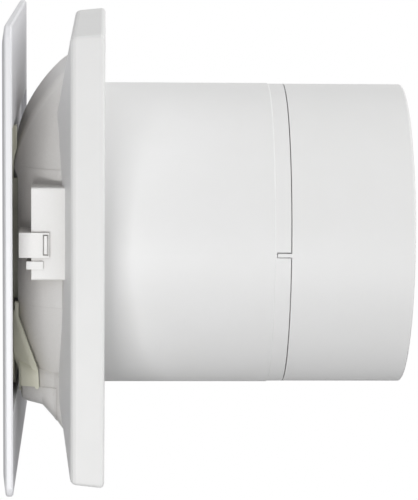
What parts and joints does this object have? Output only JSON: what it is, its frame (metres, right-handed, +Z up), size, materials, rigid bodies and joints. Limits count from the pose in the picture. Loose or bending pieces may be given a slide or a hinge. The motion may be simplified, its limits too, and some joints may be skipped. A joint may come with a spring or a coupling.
{
  "type": "bathroom extractor fan",
  "caption": "Through-wall bathroom extractor fan with a square flat front panel, a domed cowl and a round duct tube with a back-draught shutter.",
  "frame": {"origin": "on the duct axis in the wall plane, at the back of the wall plate", "axes": "+Y along the duct axis into the wall, the way the air flows; +Z up; X across the wall; the front panel faces -Y"},
  "size_m": [0.182, 0.1617, 0.182],
  "materials": {
    "panel_white": "satin moulded",
    "cowl_white": "fine satin moulded",
    "tube_white": "fine satin moulded",
    "ivory_plastic": "satin moulded",
    "flap_white": "satin moulded",
    "bracket_grey": "satin moulded",
    "wheel_white": "satin moulded",
    "seal_foam": "closed-cell foam",
    "black_rubber": "moulded",
    "bell_steel": "zinc plated",
    "core_steel": "laminated",
    "copper_wire": "enamelled",
    "rotor_steel": "turned",
    "shaft_steel": "ground",
    "bearing_steel": "polished",
    "screw_steel": "zinc plated",
    "spring_steel": "drawn wire",
    "lead_sheath": "flexible sheath",
    "terminal_plastic": "moulded",
    "terminal_brass": "plated"
  },
  "bodies": {
    "housing": {"front_cowl": "cowl_white", "cowl_dome": "cowl_white", "inlet_frame": "ivory_plastic", "wall_plate": "tube_white", "duct_tube": "tube_white", "rear_duct": "tube_white", "damper_frame": "flap_white", "wall_seal": "seal_foam", "bellmouth_ring": "bracket_grey", "bellmouth_screws": "screw_steel", "motor_bracket": "bracket_grey", "motor_front_bell": "bell_steel", "motor_rear_bell": "bell_steel", "motor_screws": "screw_steel", "stator_core": "core_steel", "stator_windings": "copper_wire", "front_bearing": "bearing_steel", "rear_bearing": "bearing_steel", "front_mount_ring": "black_rubber", "rear_mount_ring": "black_rubber", "motor_lead": "lead_sheath", "terminal_block": "terminal_plastic", "terminal_screws": "terminal_brass", "terminal_cover": "terminal_plastic", "terminal_cover_screw": "screw_steel", "cable_clamp": "terminal_plastic", "cable_clamp_screws": "screw_steel", "cable_grommet": "black_rubber", "cowl_screw": "screw_steel", "damper_rod": "shaft_steel", "damper_springs": "spring_steel"},
    "wheel": {"impeller": "wheel_white", "impeller_nut": "terminal_brass", "rotor": "rotor_steel", "motor_shaft": "shaft_steel"},
    "panel": {"front_panel": "panel_white"},
    "right_flap": {"damper_flap_right": "flap_white"},
    "left_flap": {"damper_flap_left": "flap_white"}
  },
  "joints": [
    {"name": "impeller_spin", "type": "hinge", "parent": "housing", "child": "wheel", "pos_m": [0, 0, 0], "axis": [0, 1, 0], "continuous": true},
    {"name": "panel_pull", "type": "slide", "parent": "housing", "child": "panel", "axis": [0, -1, 0], "range_m": [0, 0.03]},
    {"name": "right_flap_hinge", "type": "hinge", "parent": "housing", "child": "right_flap", "pos_m": [0, 0.0796, 0], "axis": [0, 0, 1], "range_deg": [0, 50], "stiffness_Nm_per_rad": 0.0006, "springref_deg": -20.05},
    {"name": "left_flap_hinge", "type": "hinge", "parent": "housing", "child": "left_flap", "pos_m": [0, 0.0796, 0], "axis": [0, 0, -1], "range_deg": [0, 50], "stiffness_Nm_per_rad": 0.0006, "springref_deg": -20.05}
  ]
}
